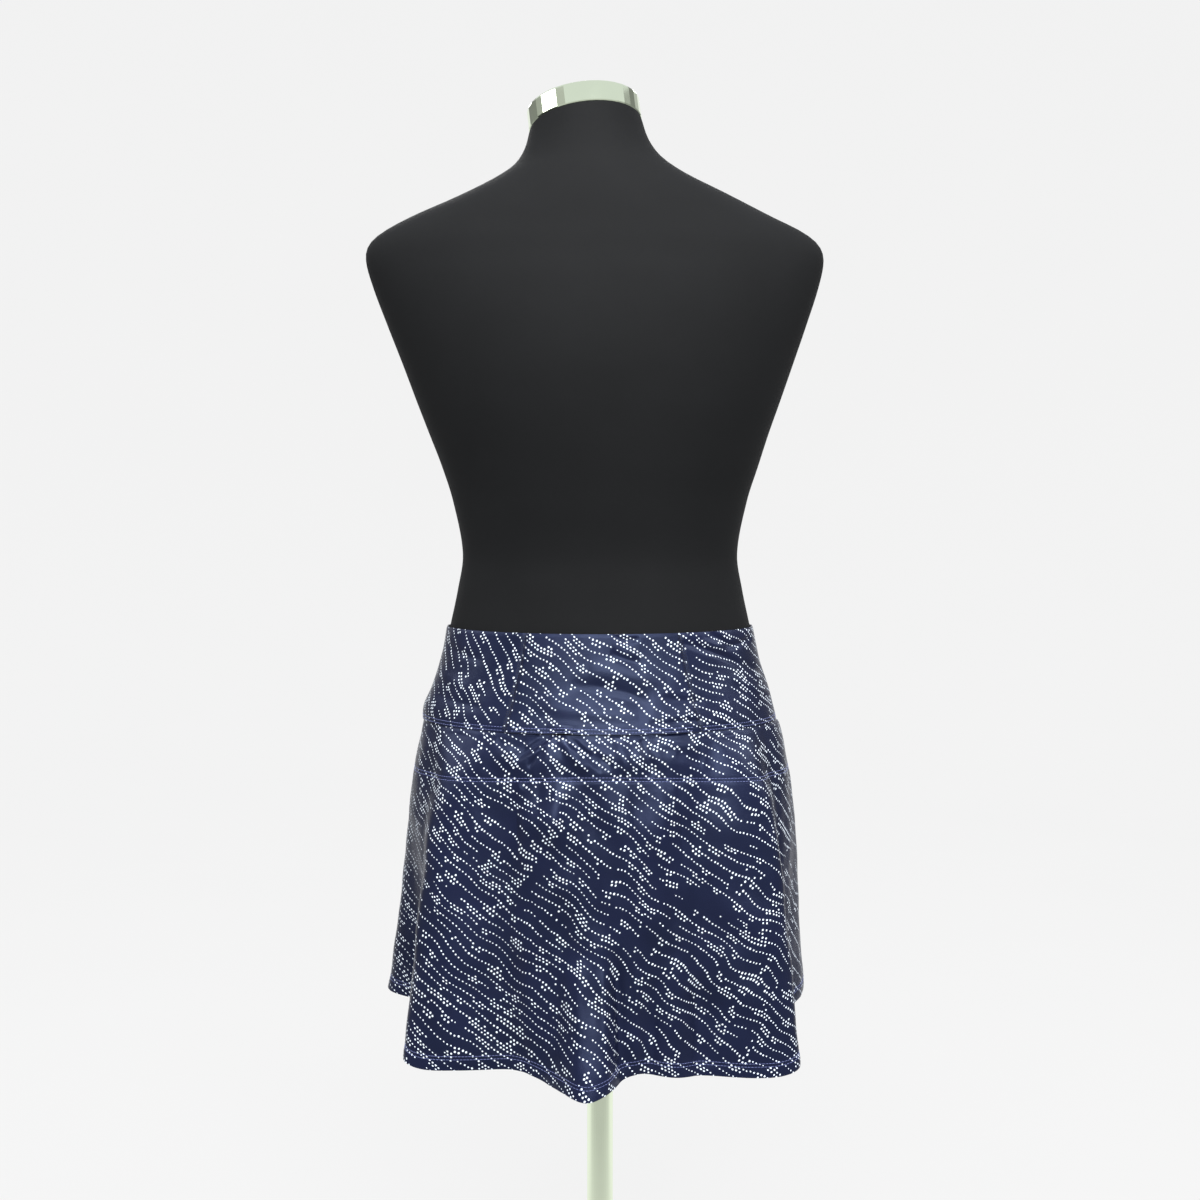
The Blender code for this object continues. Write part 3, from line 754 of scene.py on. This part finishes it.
class Nodes:
    """Builds a material's node tree with short calls."""

    def __init__(self, name):
        self.material = bpy.data.materials.new(name)
        self.material.use_nodes = True
        self.tree = self.material.node_tree
        self.shader = self.tree.nodes["Principled BSDF"]

    def add(self, kind, inputs=(), **settings):
        node = self.tree.nodes.new(kind)
        for key, value in settings.items():
            setattr(node, key, value)
        for key, value in dict(inputs).items():
            self.feed(node.inputs[key], value)
        return node

    def feed(self, socket, value):
        if isinstance(value, bpy.types.NodeSocket):
            self.tree.links.new(value, socket)
        else:
            socket.default_value = value

    def math(self, operation, *values):
        node = self.add("ShaderNodeMath", operation=operation)
        for socket, value in zip(node.inputs, values):
            self.feed(socket, value)
        return node.outputs[0]

    def vector(self, x, y, z=0.0):
        return self.add("ShaderNodeCombineXYZ", {"X": x, "Y": y, "Z": z}).outputs[0]

    def noise(self, vector, scale=1.0, detail=0.0):
        settings = {"Vector": vector, "Scale": scale, "Detail": detail}
        return self.add("ShaderNodeTexNoise", settings).outputs["Fac"]

    def flat_noise(self, u, v, size, detail):
        """Noise over a sheet's two lengths, with patches of one size."""
        place = self.vector(self.math("DIVIDE", u, size), self.math("DIVIDE", v, size))
        return self.noise(place, detail=detail)

    def even_mix(self, first, second):
        return self.math("ADD", self.math("MULTIPLY", first, 0.5), self.math("MULTIPLY", second, 0.5))

    def uv(self, layer):
        """The two coordinates of a UV layer, in millimetres."""
        found = self.add("ShaderNodeUVMap", uv_map=layer).outputs[0]
        parts = self.add("ShaderNodeSeparateXYZ", {"Vector": found})
        return [self.math("MULTIPLY", parts.outputs[i], 1000.0) for i in (0, 1)]

    def mix(self, share, first, second):
        node = self.add("ShaderNodeMix", data_type="RGBA")
        self.feed(node.inputs["Factor"], share)
        colours = [socket for socket in node.inputs if socket.type == "RGBA"]
        for socket, value in zip(colours, (first, second)):
            self.feed(socket, (*value, 1.0) if isinstance(value, tuple) else value)
        return next(socket for socket in node.outputs if socket.type == "RGBA")

    def between(self, value, low, high, to_low=0.0, to_high=1.0):
        node = self.add("ShaderNodeMapRange", interpolation_type="SMOOTHSTEP")
        for socket, given in zip(node.inputs, (value, low, high, to_low, to_high)):
            self.feed(socket, given)
        return node.outputs[0]

    def bump(self, height, distance, strength):
        settings = {"Height": height, "Distance": distance, "Strength": strength}
        return self.add("ShaderNodeBump", settings).outputs[0]

    def set(self, **values):
        for key, value in values.items():
            self.feed(self.shader.inputs[key.replace("_", " ")], value)


def wander(nodes, a, b):
    """How far the printed lines stray sideways at a place, in millimetres."""
    along, across = nodes.math("DIVIDE", a, LINE_WAVE_LENGTH), nodes.math("DIVIDE", b, LINE_WAVE_ACROSS)
    centred = nodes.math("SUBTRACT", nodes.noise(nodes.vector(along, across)), 0.5)
    return nodes.math("MULTIPLY", centred, LINE_WANDER)


def lattice(nodes, value, pitch):
    """The number of the cell that a value falls in, and the cell's middle."""
    number = nodes.math("FLOOR", nodes.math("DIVIDE", value, pitch))
    middle = nodes.math("MULTIPLY", nodes.math("ADD", number, 0.5), pitch)
    return number, middle


def dot_print(nodes):
    """1 on the printed dots: wandering dotted lines that swell here and there into two or three rows."""
    a, b = nodes.uv("print")
    skew = 0.5 * DOT_PITCH / DOT_ROW_PITCH
    rough = nodes.math("ADD", b, wander(nodes, a, b))
    row, row_middle = lattice(nodes, rough, DOT_ROW_PITCH)
    slanted = nodes.math("SUBTRACT", a, nodes.math("MULTIPLY", row_middle, skew))
    cell, cell_middle = lattice(nodes, slanted, DOT_PITCH)
    dot_a = nodes.math("ADD", cell_middle, nodes.math("MULTIPLY", row_middle, skew))
    exact = nodes.math("ADD", b, wander(nodes, dot_a, b))
    place = {"Vector": nodes.vector(cell, row)}
    chance = nodes.add("ShaderNodeTexWhiteNoise", place, noise_dimensions="2D")
    dice = nodes.add("ShaderNodeSeparateXYZ", {"Vector": chance.outputs["Color"]})
    shaken = [nodes.math("SUBTRACT", dice.outputs[i], 0.5) for i in (0, 1)]
    jitter_a, jitter_b = (nodes.math("MULTIPLY", value, DOT_JITTER) for value in shaken)
    off_a = nodes.math("ADD", nodes.math("SUBTRACT", a, dot_a), jitter_a)
    off_b = nodes.math("ADD", nodes.math("SUBTRACT", exact, row_middle), jitter_b)
    squares = nodes.math("ADD", nodes.math("POWER", off_a, 2.0), nodes.math("POWER", off_b, 2.0))
    distance = nodes.math("SQRT", squares)

    centred_row = nodes.math("ADD", row, ROWS_PER_LINE / 2)
    line = nodes.math("FLOOR", nodes.math("DIVIDE", centred_row, float(ROWS_PER_LINE)))
    side = nodes.math("SUBTRACT", row, nodes.math("MULTIPLY", line, float(ROWS_PER_LINE)))
    beside = nodes.math("ABSOLUTE", side)
    along, across = nodes.math("DIVIDE", dot_a, LINE_PATCH), nodes.math("MULTIPLY", line, LINE_STRIDE)
    line_level = nodes.math("SUBTRACT", nodes.noise(nodes.vector(along, across, LINE_PLANE)), LINE_SHARE)
    along, across = nodes.math("DIVIDE", dot_a, SWELL_LENGTH), nodes.math("MULTIPLY", line, SWELL_STRIDE)
    swell = nodes.noise(nodes.vector(along, across, SWELL_PLANE))
    swell_least = nodes.between(side, -1.0, 1.0, SWELL_ABOVE, SWELL_BELOW)
    widened = nodes.math("GREATER_THAN", swell, swell_least)
    in_row = nodes.math("MAXIMUM", widened, nodes.math("SUBTRACT", 1.0, beside))
    kept = nodes.math("LESS_THAN", chance.outputs["Value"], DOT_KEPT)
    on_line = nodes.math("MULTIPLY", nodes.math("GREATER_THAN", line_level, 0.0), kept)
    shows = nodes.math("MULTIPLY", on_line, in_row)
    uneven = nodes.math("MULTIPLY", nodes.math("SUBTRACT", dice.outputs[2], 0.5), DOT_UNEVEN)
    full = nodes.math("ADD", nodes.between(swell, SWELL_FROM, SWELL_TO, DOT_SMALL, DOT_LARGE), uneven)
    radius = nodes.math("MULTIPLY", full, nodes.between(line_level, 0.0, LINE_TAPER, DOT_END_SHARE, 1.0))
    edge = nodes.math("SUBTRACT", radius, distance)
    return nodes.math("MULTIPLY", nodes.between(edge, -DOT_EDGE, DOT_EDGE), shows)


def knit_height(nodes, u, v, stitch):
    """The tiny columns and rows of a fine jersey, from -1 to 1."""
    wale, course = stitch
    across = nodes.math("SINE", nodes.math("MULTIPLY", u, 2 * math.pi / wale))
    down = nodes.math("SINE", nodes.math("MULTIPLY", v, 2 * math.pi / course))
    return nodes.math("ADD", nodes.math("MULTIPLY", across, 0.7), nodes.math("MULTIPLY", down, 0.3))


def printed_jersey():
    nodes = Nodes("skirt_printed_jersey")
    u, v = nodes.uv("cloth")
    cloudy = nodes.flat_noise(u, v, SKIRT_CLOUD, 2.0)
    speckle = nodes.flat_noise(u, v, SKIRT_SPECK, 1.0)
    shade = nodes.even_mix(cloudy, speckle)
    ground = nodes.mix(nodes.between(shade, 0.3, 0.7), NAVY_DEEP, NAVY)
    dots = dot_print(nodes)
    nodes.set(Base_Color=nodes.mix(dots, ground, PRINT_WHITE))
    nodes.set(Roughness=nodes.between(dots, 0.0, 1.0, SATIN_ROUGHNESS, PRINT_ROUGHNESS))
    nodes.set(Normal=nodes.bump(knit_height(nodes, u, v, SKIRT_KNIT), 0.04 * MM, 0.6))
    nodes.shader.inputs["Specular IOR Level"].default_value = 0.38
    nodes.shader.inputs["Specular Tint"].default_value = SATIN_TINT
    return nodes.material


def plain_inside():
    nodes = Nodes("skirt_inside")
    u, v = nodes.uv("cloth")
    speckle = nodes.flat_noise(u, v, INSIDE_SPECK, 2.0)
    nodes.set(Base_Color=nodes.mix(speckle, *INSIDE_NAVY))
    nodes.set(Normal=nodes.bump(knit_height(nodes, u, v, SKIRT_KNIT), 0.05 * MM, 0.6))
    nodes.shader.inputs["Roughness"].default_value = 0.7
    nodes.shader.inputs["Sheen Weight"].default_value = 0.2
    return nodes.material


def thread(name, colours):
    nodes = Nodes(name)
    place = nodes.add("ShaderNodeTexCoord").outputs["Object"]
    nodes.set(Base_Color=nodes.mix(nodes.noise(place, 900.0, 1.0), *colours))
    nodes.shader.inputs["Roughness"].default_value = 0.6
    nodes.shader.inputs["Sheen Weight"].default_value = 0.05
    nodes.shader.inputs["Specular IOR Level"].default_value = 0.2
    return nodes.material


def form_jersey():
    nodes = Nodes("form_black_jersey")
    u, v = nodes.uv("cloth")
    speckle = nodes.flat_noise(u, v, FORM_SPECK, 2.0)
    cloudy = nodes.flat_noise(u, v, FORM_CLOUD, 2.0)
    nodes.set(Base_Color=nodes.mix(nodes.even_mix(cloudy, speckle), *FORM_BLACK))
    nodes.set(Normal=nodes.bump(knit_height(nodes, u, v, FORM_KNIT), 0.06 * MM, 0.7))
    nodes.shader.inputs["Roughness"].default_value = 0.72
    nodes.shader.inputs["Sheen Weight"].default_value = 0.01
    nodes.shader.inputs["Sheen Tint"].default_value = (0.6, 0.62, 0.65, 1.0)
    nodes.shader.inputs["Specular IOR Level"].default_value = 0.12
    return nodes.material


def bright_plate(name, tint, low, high):
    """Plated metal with faint smudges and polishing marks."""
    nodes = Nodes(name)
    place = nodes.add("ShaderNodeTexCoord").outputs["Object"]
    smudge = nodes.noise(place, 26.0, 3.0)
    nodes.set(Base_Color=nodes.mix(smudge, tuple(0.94 * c for c in tint), tint))
    nodes.set(Roughness=nodes.between(smudge, 0.35, 0.7, low, high))
    nodes.set(Normal=nodes.bump(nodes.noise(place, 700.0, 2.0), 0.004 * MM, 0.5))
    nodes.shader.inputs["Metallic"].default_value = 1.0
    return nodes.material


def glowing_backdrop():
    """A dark grey backdrop whose pale look is painted light from its own glow, bright behind the form in
    the camera's view and paler or dimmer all round.
    """
    nodes = Nodes("glowing_backdrop")
    place = nodes.add("ShaderNodeTexCoord").outputs["Object"]
    parts = nodes.add("ShaderNodeSeparateXYZ", {"Vector": place})
    away = nodes.math("MAXIMUM", nodes.math("SUBTRACT", GLOW_CENTRE_Y, parts.outputs["Y"]), 0.01)
    aside = nodes.math("DIVIDE", nodes.math("ABSOLUTE", parts.outputs["X"]), away)
    behind = nodes.between(parts.outputs["Y"], GLOW_FROM, GLOW_TO, 1.0, 0.0)
    below = nodes.between(parts.outputs["Z"], GLOW_TOP_FROM, GLOW_TOP_TO, 1.0, 0.0)
    framed = nodes.math("MULTIPLY", behind, below)
    bright = nodes.math("MULTIPLY", nodes.between(aside, GLOW_NARROW, GLOW_WIDE, 1.0, 0.0), framed)
    before = nodes.math("SUBTRACT", 1.0, behind)
    pale = nodes.math("MAXIMUM", nodes.between(aside, PALE_FROM, PALE_TO), before)
    rest = nodes.between(pale, 0.0, 1.0, GLOW_DIM, GLOW_PALE)
    lift = nodes.math("MULTIPLY", bright, nodes.math("SUBTRACT", GLOW_BRIGHT, rest))
    glow = nodes.math("ADD", rest, lift)
    # Painted light: the backdrop's colour is dark grey, and its pale look is its own glow
    nodes.set(Base_Color=nodes.mix(nodes.noise(place, 3.0, 2.0), *BACKDROP_GREY))
    nodes.set(Emission_Strength=glow)
    nodes.shader.inputs["Roughness"].default_value = 0.9
    nodes.shader.inputs["Specular IOR Level"].default_value = 0.0
    nodes.shader.inputs["Emission Color"].default_value = (1.0, 1.0, 1.0, 1.0)
    return nodes.material


def form_torso(finish):
    """The dress form's torso as a fine closed surface through the same sections as its solid."""
    low, high = FORM_SECTIONS[0][0], FORM_SECTIONS[-1][0]
    rows = round((high - low) * CM / FORM_ROW_STEP)
    heights = np.linspace(low, high, rows + 1)
    facts = {n: read_table(FORM_SECTIONS, FORM_COLUMN_NAMES, n, heights) for n in FORM_COLUMN_NAMES[1:]}
    turn = 2 * np.pi * np.arange(FORM_COLUMNS) / FORM_COLUMNS
    grid = np.empty((len(heights), FORM_COLUMNS, 3))
    for i, height in enumerate(heights):
        depth = np.where(np.sin(turn) >= 0, facts["back"][i], facts["front"][i])
        x, y = facts["half_width"][i] * np.cos(turn) * CM, depth * np.sin(turn) * CM
        tilt = Euler((math.radians(facts["tilt"][i]), math.radians(facts["lean"][i]), 0.0)).to_matrix()
        turned = np.stack((x, y, np.zeros_like(x)), axis=-1) @ np.array(tilt).T
        middle = np.array((facts["side"][i] * CM, facts["centre"][i] * CM, WAIST_Z + height * CM))
        ring = middle + turned
        away = np.hypot(np.abs(x) - BUST_HALF_SPACING, ring[:, 2] - WAIST_Z - BUST_HEIGHT)
        ring[:, 1] -= np.where(y < 0, BUST_RISE * np.exp(-((away / BUST_SPREAD) ** 2) / 2), 0.0)
        grid[i] = ring
    closed = np.concatenate((grid, grid[:, :1]), axis=1)
    around, up = lengths_along(closed, 1), lengths_along(closed, 0)
    middle_column = FORM_COLUMNS // 4
    around = around - around[:, middle_column : middle_column + 1]
    index = np.arange(grid.shape[0] * FORM_COLUMNS).reshape(grid.shape[:2])
    wrapped = np.concatenate((index, index[:, :1]), axis=1)
    corners = (wrapped[:-1, :-1], wrapped[:-1, 1:], wrapped[1:, 1:], wrapped[1:, :-1])
    quads = np.stack(corners, axis=-1).reshape(-1, 4)
    ends = [index[0][::-1].tolist(), index[-1].tolist()]
    made = mesh_object("form_torso_jersey", grid.reshape(-1, 3), quads.tolist() + ends, [finish])
    made.data.set_sharp_from_angle(angle=math.radians(FORM_SHARP_ANGLE))
    flat = np.stack((around[:, :-1], up[:, :-1]), axis=-1).reshape(-1, 2) + 1.0
    set_uv(made.data, "cloth", flat)
    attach(made, "root")
    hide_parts("form_torso")


def studio():
    """A pale round cove open at the top, soft lights and the camera at the photograph's angle."""
    bend = COVE_WALL_RADIUS - COVE_FLOOR_RADIUS
    angles = np.linspace(0, math.pi / 2, COVE_CURVE_RINGS)
    profile = [(radius, 0.0) for radius in COVE_FLOOR_RINGS]
    profile += [(COVE_FLOOR_RADIUS + bend * math.sin(t), bend * (1 - math.cos(t))) for t in angles]
    profile.append((COVE_WALL_RADIUS, COVE_TOP))
    turn = 2 * np.pi * np.arange(COVE_SEGMENTS + 1) / COVE_SEGMENTS
    rings = [[(r * math.cos(t), r * math.sin(t), z - COVE_BELOW_FOOT) for t in turn] for r, z in profile]
    faces = grid_faces(len(profile), COVE_SEGMENTS + 1).tolist()
    cove = mesh_object("cove", np.array(rings).reshape(-1, 3), faces, [glowing_backdrop()])

    world = bpy.data.worlds.new("studio")
    bpy.context.scene.world = world
    world.use_nodes = True
    world.node_tree.nodes["Background"].inputs["Color"].default_value = WORLD_TINT
    world.node_tree.nodes["Background"].inputs["Strength"].default_value = WORLD_GREY
    bpy.context.scene.view_settings.view_transform = "Standard"

    for row in LAMPS:
        facts = dict(zip(LAMP_COLUMN_NAMES, row))
        lamp = bpy.data.lights.new(facts["name"], "AREA")
        lamp.shape = "RECTANGLE"
        lamp.size = facts["width"]
        lamp.size_y = facts["height"]
        lamp.energy = facts["power"]
        holder = bpy.data.objects.new(facts["name"], lamp)
        holder.location = facts["place"]
        away = Vector(facts["place"]) - Vector(facts["aim"])
        holder.rotation_euler = away.to_track_quat("Z", "Y").to_euler()
        bpy.context.scene.collection.objects.link(holder)

    camera = bpy.data.cameras.new("camera")
    camera.sensor_width = CAMERA_SENSOR
    camera.lens = CAMERA_LENS
    holder = bpy.data.objects.new("camera", camera)
    holder.location = (0.0, CAMERA_DISTANCE, WAIST_Z + CAMERA_ABOVE_WAIST)
    holder.rotation_euler = (math.radians(90 - CAMERA_TILT_DOWN), 0.0, math.pi)
    bpy.context.scene.collection.objects.link(holder)
    bpy.context.scene.camera = holder


def yoke(materials, threads):
    """The four yoke panels, close on the form, with their seams and the needle lines at their foot."""
    seams = {
        "yoke_back_left": (LEFT_SIDE_SEAM, LEFT_YOKE_SEAM),
        "yoke_back_centre": (LEFT_YOKE_SEAM, RIGHT_YOKE_SEAM),
        "yoke_back_right": (RIGHT_YOKE_SEAM, RIGHT_SIDE_SEAM),
        "yoke_front": (RIGHT_SIDE_SEAM, LEFT_SIDE_AGAIN),
    }
    light, dark = threads
    for name, pair in seams.items():
        span = (pair[1][1] - pair[0][1]) * CREASE_SCALE
        step = {"yoke_back_centre": FINE_STEP, "yoke_front": COARSE_STEP}.get(name, YOKE_STEP)
        shares = [graded(length, 0.0, 0.0, step, step) for length in (span, YOKE_DEPTH)]
        panel = Panel(name, yoke_surface, pair, 0.0, lambda d: np.full_like(d, YOKE_DEPTH), shares)
        relief = crease_relief(YOKE_CREASES, panel.degrees, panel.drop)
        relief += ripple(panel.degrees, panel.drop, *YOKE_RIPPLE)
        relief *= kept_near_edge(panel.from_bottom, YOKE_FOOT_SHARE, YOKE_FOOT_FADE)
        relief = np.maximum(relief, -YOKE_CREASE_LIMIT) + YOKE_OUT
        over_pocket = pocket_share(panel.degrees) * YOKE_OVER_POCKET
        relief += over_pocket * np.exp(-((panel.from_bottom / POCKET_FALL) ** 2))
        aside, above = (panel.degrees - LIFT_ANGLE) / LIFT_SPREAD, panel.from_bottom / LIFT_FALL
        lift = np.exp(-(aside**2 + above**2))
        panel.points[..., 2] += LIFT_RISE * lift
        relief += LIFT_OUT * lift
        from_side = (panel.degrees - BULGE_ANGLE + FULL_TURN / 2) % FULL_TURN - FULL_TURN / 2
        bulge = np.exp(-((from_side / BULGE_SPREAD) ** 2)) * BULGE_OUT
        relief += bulge * np.exp(-(((panel.from_bottom - BULGE_ABOVE) / BULGE_FALL) ** 2))
        for distance in (panel.along, panel.from_end):
            relief += panel.roll(distance)
        relief += panel.roll(panel.down, YOKE_TOP_ROLL) + panel.roll(panel.from_bottom, YOKE_FOOT_ROLL)
        relief += dent(panel.from_bottom - YOKE_STITCH_INSET)
        panel.push(np.maximum(relief, -YOKE_INWARD_LIMIT))
        made = panel_shell(panel, materials, False)
        for number, inset in enumerate((0.0, TWIN_NEEDLE_GAP)):
            line = YOKE_DEPTH - YOKE_STITCH_INSET - inset
            needle_line(panel, f"{name}_needle_line_{number + 1}", lambda d: np.full_like(d, line), light)
        for end in (0, 1):
            if pair[end] in (LEFT_YOKE_SEAM, RIGHT_YOKE_SEAM):
                ladder(panel, end, dark)


def ladder(panel, end, finish):
    """The needle line beside a yoke seam, and half of each rung that reaches across it."""
    distance, label = ((panel.along, "start"), (panel.from_end, "end"))[end]
    place = np.array([np.interp(LADDER_INSET, *sort_pair(row)) for row in distance])
    rows = np.arange(len(place))
    line = panel_places(panel, rows, place)
    steps = even_steps(line[0], LADDER_PITCH)
    columns = np.interp(steps, rows, place)
    centres, out = panel_places(panel, steps, columns)
    along = panel_places(panel, steps + 0.5, columns)[0] - panel_places(panel, steps - 0.5, columns)[0]
    lifted = centres + out * LADDER_RADIUS * LADDER_LIFT
    name = f"{panel.name}_{label}"
    stitches(name + "_ladder", lifted, along, out, LADDER_STITCH, LADDER_RADIUS, finish)
    edge_column = np.full_like(columns, 0.0 if end == 0 else panel.degrees.shape[1] - 1.0)
    edge, edge_out = panel_places(panel, steps, edge_column)
    middle = (centres + edge) / 2 + (out + edge_out) / 2 * RUNG_RADIUS * RUNG_LIFT
    stitches(name + "_rungs", middle, edge - centres, out, LADDER_INSET, RUNG_RADIUS, finish)


def sort_pair(distance):
    """Distances in rising order with their column numbers."""
    order = np.argsort(distance)
    return distance[order], order.astype(float)


def panel_places(panel, rows, columns):
    """Points and outward directions at fractional rows and columns of a panel."""
    last_row, last_column = panel.degrees.shape[0] - 1, panel.degrees.shape[1] - 1
    r = np.clip(rows, 0, last_row)
    c = np.clip(columns, 0, last_column)
    r0 = np.minimum(r.astype(int), last_row - 1)
    c0 = np.minimum(c.astype(int), last_column - 1)
    fr, fc = (r - r0)[:, None], (c - c0)[:, None]

    def mix(grid):
        upper = grid[r0, c0] * (1 - fc) + grid[r0, c0 + 1] * fc
        lower = grid[r0 + 1, c0] * (1 - fc) + grid[r0 + 1, c0 + 1] * fc
        return upper * (1 - fr) + lower * fr

    return mix(panel.points), mix(panel.normals)


def skirt_panel(name, seams, creases, materials, threads):
    """A flared panel with its folds, creases and twin-needle hem."""
    top = YOKE_DEPTH + SEAM_GAP
    first, last = seams[0][0], seams[1][0]
    zone = [(edge - first) * CREASE_SCALE for edge in POCKET_ZONE] if name == "skirt_back" else [0.0, 0.0]
    width, height = (last - first) * CREASE_SCALE, float(hem_drop(first)) - top
    columns = graded(width, *zone, FINE_STEP, COARSE_STEP)
    rows = graded(height, 0.0, POCKET_ZONE_DEPTH, FINE_STEP, COARSE_STEP)
    panel = Panel(name, skirt_surface, seams, top, hem_drop, (columns, rows))
    relief = crease_relief(creases, panel.degrees, panel.drop)
    relief += ripple(panel.degrees, panel.drop, *SKIRT_RIPPLE)
    relief += ripple(panel.degrees * LONG_RIPPLE_ROUND, panel.drop * LONG_RIPPLE_DOWN, *LONG_RIPPLE)
    relief *= kept_near_edge(panel.down, SKIRT_TOP_SHARE, SKIRT_TOP_FADE)
    for distance in (panel.along, panel.from_end, panel.down):
        relief += panel.roll(distance)
    relief += dent(panel.from_bottom - HEM_STITCH_INSET)
    relief += HEM_SWELL_OUT * np.exp(-(((panel.from_bottom - HEM_SWELL_ABOVE) / HEM_SWELL_FALL) ** 2))
    if name == "skirt_back":
        mouth = pocket_share(panel.degrees) * np.exp(-((panel.down / POCKET_FALL) ** 2))
        relief -= POCKET_SINK * mouth
        puff = pocket_share(panel.degrees) * np.exp(-(((panel.drop - PUFF_DROP) / PUFF_SPREAD) ** 2))
        relief += POCKET_PUFF * puff
        relief += dent(panel.drop - pocket_line_drop(panel.degrees) + TWIN_NEEDLE_GAP / 2)
        panel.points[..., 2] -= POCKET_GAP * mouth
    body = section_radius(FORM_SECTIONS, FORM_COLUMN_NAMES, -panel.drop / CM, panel.degrees)
    room = np.hypot(panel.points[..., 0], panel.points[..., 1]) - body
    panel.push(np.maximum(relief, SHELL_WALL + CLOTH_TO_FORM - room))
    made = panel_shell(panel, materials, True)
    for number, inset in enumerate((0.0, TWIN_NEEDLE_GAP)):
        line = HEM_STITCH_INSET + inset
        needle_line(panel, f"{name}_hem_line_{number + 1}", hem_drop, threads[0], -line)
        if name == "skirt_back":
            shift = inset - TWIN_NEEDLE_GAP / 2
            needle_line(panel, f"pocket_line_{number + 1}", pocket_line_drop, threads[0], shift)


def main():
    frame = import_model()

    studio()
    materials = [printed_jersey(), plain_inside()]
    threads = (thread("thread_light_blue", THREAD_LIGHT_BLUE), thread("thread_navy", THREAD_NAVY))
    yoke(materials, threads)
    back, front = (LEFT_SIDE_SEAM, RIGHT_SIDE_SEAM), (RIGHT_SIDE_SEAM, LEFT_SIDE_AGAIN)
    skirt_panel("skirt_back", back, BACK_CREASES, materials, threads)
    skirt_panel("skirt_front", front, FRONT_CREASES, materials, threads)
    form_torso(form_jersey())

    chrome = bright_plate("form_chrome", CHROME_TINT, 0.05, 0.12)
    steel = bright_plate("form_satin_steel", STEEL_TINT, 0.22, 0.34)
    for name, finish in (("form_neck_cap", chrome), ("form_pole", chrome), ("form_foot", steel)):
        frame["nodes"][name].material_slots[0].material = finish


main()
